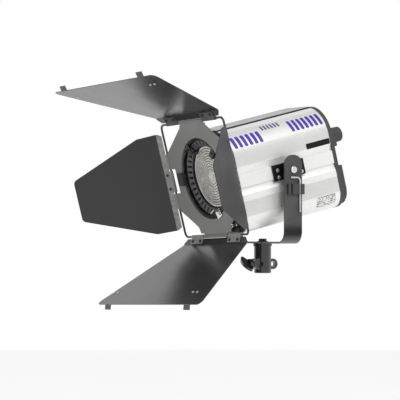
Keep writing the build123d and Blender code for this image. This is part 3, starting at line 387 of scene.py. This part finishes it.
# Lit and shaded copies of one hinge paint: the top hinges are painted dark as painted shade, the other
# hinges lighter as painted light.
paint(
    coating("hinge_painted_shade", (0.055, 0.055, 0.056), 0.44, mottle=0.5, cloud=60, grain=650, relief=0.08,
            edge=0.4, worn=STEEL_WORN, worn_metal=0.9, wear=0.6),
    "top_hinges",
)
paint(
    coating("hinge_painted_lit", (0.26, 0.26, 0.255), 0.42, mottle=0.2, cloud=60, grain=800, relief=0.04,
            edge=0.4, worn=(0.6, 0.6, 0.6), worn_metal=0.9, wear=0.6),
    "bottom_hinges", "left_hinges", "right_hinges",
)
paint(
    coating("plate_paint", (0.205, 0.205, 0.20), 0.50, mottle=0.07, cloud=12, grain=900, relief=0.025,
            edge=0.4, worn=STEEL_WORN, worn_metal=0.9, wear=0.5),
    "door_plate", "mount_ring",
)
LEAF = dict(rough=0.21, mottle=0.10, cloud=9, grain=1000, relief=0.018, edge=0.35, worn=STEEL_WORN,
            worn_metal=0.9, wear=0.5, spread=0.04)
SIDE_LEAF = dict(LEAF, rough=0.40, grain=700, relief=0.03)
paint(coating("leaf_satin", (0.022, 0.022, 0.024), **LEAF), "top_leaf", "bottom_leaf")
# The side leaves carry a painted reflection on their bent strips.
paint(
    coating("left_leaf_satin", (0.018, 0.018, 0.019), overlay=bend_reflection_overlay("left"), **SIDE_LEAF),
    "left_leaf",
)
paint(
    coating("right_leaf_satin", (0.009, 0.009, 0.009), specular=0.28, overlay=bend_reflection_overlay("right"),
            **SIDE_LEAF),
    "right_leaf",
)
CLIP = dict(rough=0.35, metal=0.3, mottle=0.25, cloud=60, grain=700, relief=0.02, edge=0.3,
            worn=STEEL_WORN, worn_metal=1.0, wear=0.7)
# The spring clips of the wide leaves carry painted highlights on their rivet heads.
for door in ("top", "bottom"):
    spring = coating(door + "_spring", (0.045, 0.045, 0.045), overlay=rivet_highlight_overlay(door), **CLIP)
    paint(spring, door + "_gel_clips")
paint(
    coating("ground_steel", (0.60, 0.60, 0.59), 0.20, metal=1.0, mottle=0.06, cloud=50, grain=160,
            relief=0.01, stretch=(8, 1, 8), turn=HEAD_TURN, edge=0.3),
    "guide_rods", "lead_screw",
)
paint(
    coating("sink_aluminium", (0.60, 0.60, 0.60), 0.38, metal=1.0, mottle=0.08, cloud=20, grain=120,
            relief=0.02, stretch=(1, 1, 12), edge=0.3),
    "led_heat_sink",
)
paint(
    coating("cup_mirror", (0.88, 0.88, 0.87), 0.10, metal=1.0, mottle=0.03, cloud=40, grain=200,
            relief=0.01, edge=0.2, spread=0.06),
    "led_reflector",
)
paint(
    coating("fan_plastic", (0.016, 0.016, 0.017), 0.5, mottle=0.2, grain=1200, relief=0.03, wear=0.3),
    "fan_frame", "fan_rotor",
)
paint(
    coating("potted_case", (0.30, 0.30, 0.29), 0.55, mottle=0.2, cloud=14, grain=500, relief=0.08, wear=0.3),
    "power_supply",
)
paint(
    coating("nylon_washer", (0.55, 0.55, 0.52), 0.5, mottle=0.06, cloud=30, grain=900, relief=0.02),
    "friction_washers",
)


def phosphor_dots(g, _painted):
    """Round yellow dies on a pale ceramic base."""
    dots = g.remap(g.cells(170.0), 0.30, 0.42, 1.0, 0.0)
    return g.mix(dots, (0.75, 0.74, 0.68, 1), (0.80, 0.62, 0.10, 1))


def board_tracks(g, painted):
    """Copper tracks that show as lighter green, with tinned pads."""
    tracks = g.remap(g.cells(120.0, "DISTANCE_TO_EDGE"), 0.02, 0.05, 1.0, 0.0)
    pads = g.remap(g.cells(260.0), 0.16, 0.22, 1.0, 0.0)
    return g.mix(pads, g.mix(tracks, painted, (0.05, 0.24, 0.10, 1)), (0.55, 0.55, 0.50, 1))


paint(coating("led_dies", (0.8, 0.7, 0.3), 0.25, mottle=0.05, grain=900, overlay=phosphor_dots, coat=0.5),
      "led_module")
paint(coating("circuit_board", (0.012, 0.10, 0.04), 0.32, mottle=0.1, grain=900, overlay=board_tracks),
      "control_board")


LENS_CENTRE, LENS_STEP = 11.0, 4.78  # radius of the lens's middle disc, and the width of one ring
LENS_WANDER = 0.35  # how far pressing moves a ring
CLEAR_CENTRE = (8, 13)  # the painted shade in the rings' roots begins outside the middle disc


def lens_shade_and_glints(g, painted):
    """Painted shade in the roots of the stepped lens's rings, and pale facets flecked with painted glints,
    slightly uneven as pressed glass is.
    """
    radius = g.math("ADD", from_beam(g), g.remap(g.noise(45, 3.0), *NOISE, -LENS_WANDER, LENS_WANDER))
    step = g.math("FRACT", g.math("DIVIDE", g.math("SUBTRACT", radius, LENS_CENTRE), LENS_STEP))
    root = g.math("MULTIPLY", g.remap(step, 0.38, 0.74, smooth=True), g.remap(step, 0.76, 0.90, 1.0, 0.0))
    dark = g.math("MULTIPLY", root, g.remap(radius, *CLEAR_CENTRE))
    sparkle = g.remap(g.noise(160, 3.0), 0.50, 0.72)
    pale = g.mix(sparkle, painted, (1.0, 1.0, 0.97, 1))
    return g.mix(dark, pale, (0.04, 0.04, 0.036, 1))


def glass():
    """Pressed lens glass: milky, with stepped rings that carry painted shade and painted glints, and faint
    waves.
    """
    g = coating("pressed_glass", (0.74, 0.72, 0.68), 0.22, specular=0.35, mottle=0.06, cloud=25, grain=140,
                relief=0.12, edge=0.3, worn=(1, 1, 1), wear=0.2, spread=0.08, overlay=lens_shade_and_glints)
    g.put(g.shader.inputs["Transmission Weight"], 0.12)
    g.put(g.shader.inputs["IOR"], 1.52)
    return g


paint(glass(), "lens")
paint(
    coating("smoke_window", (0.010, 0.014, 0.018), 0.14, mottle=0.1, cloud=30, grain=300, relief=0.01,
            edge=0.3, coat=0.8),
    "display_window",
)


# ------------------------------------------------------------------ markings on the housing sides
SIDE = 86.0  # half the housing's width
SHOULDER_R, SHOULDER_H = 52.0, 44.0  # the rounded shoulder, and the height of its foot
HIP_R, HIP_H = 34.0, -60.0  # the rounded hip, and the height of its top
FILM, FOOT = 0.18, -0.1  # how far off the skin a marking's face lies, and the feet of its sides
ROW = 1.5  # longest step of a patch up the skin
LEAN = -0.12  # how far the bars lean back as they rise


def skin(side, s, v, lift):
    """A point just off the housing side: v is measured round the section, up from the shoulder's foot."""
    if v > 0:
        a = v / SHOULDER_R
        x = SIDE - SHOULDER_R + (SHOULDER_R + lift) * cos(a)
        h = SHOULDER_H + (SHOULDER_R + lift) * sin(a)
    elif SHOULDER_H + v < HIP_H:
        a = (HIP_H - SHOULDER_H - v) / HIP_R
        x = SIDE - HIP_R + (HIP_R + lift) * cos(a)
        h = HIP_H - (HIP_R + lift) * sin(a)
    else:
        x, h = SIDE + lift, SHOULDER_H + v
    return in_head(side * x, s, h)


def patch(bm, side, s_mid, half, low, high, corner, lean=0.0):
    """One rounded patch that follows the skin, from v = low to high, leaning as it rises."""
    rows = []
    count = max(6, int((high - low) / ROW))
    for i in range(count + 1):
        v = low + (high - low) * i / count
        near = min(v - low, high - v)
        cut = corner - (corner**2 - (corner - near) ** 2) ** 0.5 if near < corner else 0.0
        rows.append((v, s_mid - lean * (v - low), half - cut))
    rings = []
    for v, mid, wide in rows:
        rings.append([
            bm.verts.new(skin(side, mid + way * wide, v, rise))
            for way, rise in ((-1, FOOT), (-1, FILM), (1, FILM), (1, FOOT))
        ])
    for a, b in zip(rings, rings[1:]):
        for j in range(3):
            bm.faces.new((a[j], a[j + 1], b[j + 1], b[j]))
    bm.faces.new(rings[0])
    bm.faces.new(rings[-1])


def marking(name, patches, graph):
    """The same patches on both sides of the housing, as one piece that rides on the head."""
    bm = bmesh.new()
    for side in (-1, 1):
        for spec in patches:
            patch(bm, side, *spec)
    bmesh.ops.recalc_face_normals(bm, faces=bm.faces)
    mesh = bpy.data.meshes.new(name)
    bm.to_mesh(mesh)
    bm.free()
    piece = bpy.data.objects.new(name, mesh)
    bpy.context.scene.collection.objects.link(piece)
    paint(graph, piece)
    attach(piece, "head")


def stripes(front, back, count, low, high, share, corner):
    """Evenly spaced bars between two places along the side, which fill a share of it."""
    pitch = (front - back) / count
    half = pitch * share / 2
    return [(front - pitch * (i + 0.5), half, low, high, corner, LEAN) for i in range(count)]


LABEL_ROW = 3.6  # pitch of the rows of strokes


def rating_lines(g, painted):
    """Rows of short grey strokes that stand for small print, with no letters in them."""
    row = g.math("FRACT", g.math("DIVIDE", g.along(PIVOT, UPWARD), LABEL_ROW))
    inside = g.remap(row, 0.42, 0.50)
    words = g.remap(g.noise(190, 1.0, HEAD_TURN, (1, 1.5, 1)), 0.46, 0.50)
    return g.mix(g.math("MULTIPLY", inside, words), painted, (0.10, 0.10, 0.10, 1))


violet = coating("violet_ink", (0.050, 0.014, 0.30), 0.42, mottle=0.10, cloud=30, grain=900, relief=0.01,
                 edge=0.1, wear=0.2)
ink = coating("dark_ink", (0.045, 0.028, 0.13), 0.45, mottle=0.1, cloud=30, grain=900, relief=0.01,
              edge=0.1)
plaque = coating("plaque_black", (0.004, 0.004, 0.004), 0.35, specular=0.2, mottle=0.15, cloud=40,
                 grain=1200, relief=0.01, edge=0.2, worn=(0.25, 0.25, 0.25), wear=0.5)
label = coating("label_film", (0.66, 0.66, 0.655), 0.36, metal=0.3, mottle=0.03, cloud=20, grain=700,
                relief=0.01, edge=0.2, overlay=rating_lines)

front_bars = stripes(front=98, back=32, count=6, low=17, high=41, share=0.62, corner=1.6)
rear_bars = stripes(front=-29, back=-101, count=7, low=21, high=46, share=0.62, corner=1.6)
small_bars = stripes(front=28, back=-14, count=6, low=39, high=51, share=0.5, corner=1.0)
marking("violet_bars", front_bars + rear_bars, violet)
marking("small_bars", small_bars, ink)
marking("plain_plaque", [(-76, 26, -17.5, -7, 1.5)], plaque)
marking("rating_label", [(-71, 21, -130, -109, 1.5)], label)


# ------------------------------------------------------------------ camera
VIEW_TURN = radians(60.222)  # round from straight in front, towards the near side
VIEW_RISE = radians(-0.660)
DISTANCE = 4.2747
AIM_LEFT, AIM_UP = 0.11583, 0.13516  # where the view axis passes the middle of the socket mouth
FOCAL_LENGTH, SENSOR = 207.936, 36.0  # millimetres, as on a real camera


def link(ob):
    """Puts a new object in the scene."""
    bpy.context.scene.collection.objects.link(ob)
    return ob


def camera():
    """A long lens from the near side, just below level."""
    back = Vector((sin(VIEW_TURN) * cos(VIEW_RISE), -cos(VIEW_TURN) * cos(VIEW_RISE), sin(VIEW_RISE)))
    right = Vector((0, 0, 1)).cross(back).normalized()
    up = back.cross(right)
    place = back * DISTANCE - right * AIM_LEFT + up * AIM_UP
    data = bpy.data.cameras.new("view")
    data.sensor_width = SENSOR
    data.lens = FOCAL_LENGTH
    data.clip_end = 50
    ob = link(bpy.data.objects.new("view", data))
    ob.matrix_world = Matrix.Translation(place) @ Matrix((right, up, back)).transposed().to_4x4()
    bpy.context.scene.camera = ob


camera()


# ------------------------------------------------------------------ light and floor
def softbox(name, place, aim, size, power):
    """A square area light at a place, turned to face a point."""
    data = bpy.data.lights.new(name, "AREA")
    data.shape = "RECTANGLE"
    data.size, data.size_y = size
    data.energy = power
    ob = link(bpy.data.objects.new(name, data))
    way = Vector(aim) - Vector(place)
    ob.matrix_world = Matrix.Translation(place) @ way.to_track_quat("-Z", "Y").to_matrix().to_4x4()


KEY = dict(place=(2.2, -0.2, 1.9), aim=(0, 0, 0.2), size=(1.0, 1.0), power=50)
FILL = dict(place=(0.6, -3.0, 0.8), aim=(0, -0.1, 0.2), size=(1.0, 1.6), power=8)
ROOM_SEEN, ROOM_LIGHT = 1.0, 0.34  # the white room's strength as seen, and as it lights the lamp
FLOOR_GLOW = 0.58
FLOOR_Z = -0.62
FLOOR_R = 9.0


def floor():
    """A wide pale disc well below the lamp, which hangs from its stand."""
    bm = bmesh.new()
    bmesh.ops.create_circle(bm, cap_ends=True, segments=96, radius=FLOOR_R)
    for v in bm.verts:
        v.co.z = FLOOR_Z
    mesh = bpy.data.meshes.new("floor")
    bm.to_mesh(mesh)
    bm.free()
    ob = link(bpy.data.objects.new("floor", mesh))
    g = Graph("floor_paper")
    shade = g.remap(g.noise(3.0, 3.0), *NOISE, 0.93, 0.96)
    g.put(g.shader.inputs["Base Color"], g.node("CombineColor", {0: shade, 1: shade, 2: shade}).outputs[0])
    g.put(g.shader.inputs["Roughness"], 0.9)
    g.put(g.shader.inputs["Specular IOR Level"], 0.1)
    g.put(g.shader.inputs["Emission Color"], (1, 1, 1, 1))
    g.put(g.shader.inputs["Emission Strength"], FLOOR_GLOW)
    mesh.materials.append(g.mat)


def studio():
    """White surroundings, a large soft key from the near side and a soft fill from in front."""
    world = bpy.data.worlds.new("studio")
    bpy.context.scene.world = world
    world.use_nodes = True
    tree = world.node_tree
    back = tree.nodes["Background"]
    back.inputs["Color"].default_value = (1, 1, 1, 1)
    ray = tree.nodes.new("ShaderNodeLightPath")
    dim = tree.nodes.new("ShaderNodeMapRange")
    tree.links.new(ray.outputs["Is Diffuse Ray"], dim.inputs["Value"])
    dim.inputs["To Min"].default_value = ROOM_SEEN
    dim.inputs["To Max"].default_value = ROOM_LIGHT
    tree.links.new(dim.outputs[0], back.inputs["Strength"])
    bpy.context.scene.view_settings.view_transform = "Standard"
    softbox("key", **KEY)
    softbox("front", **FILL)


floor()
studio()
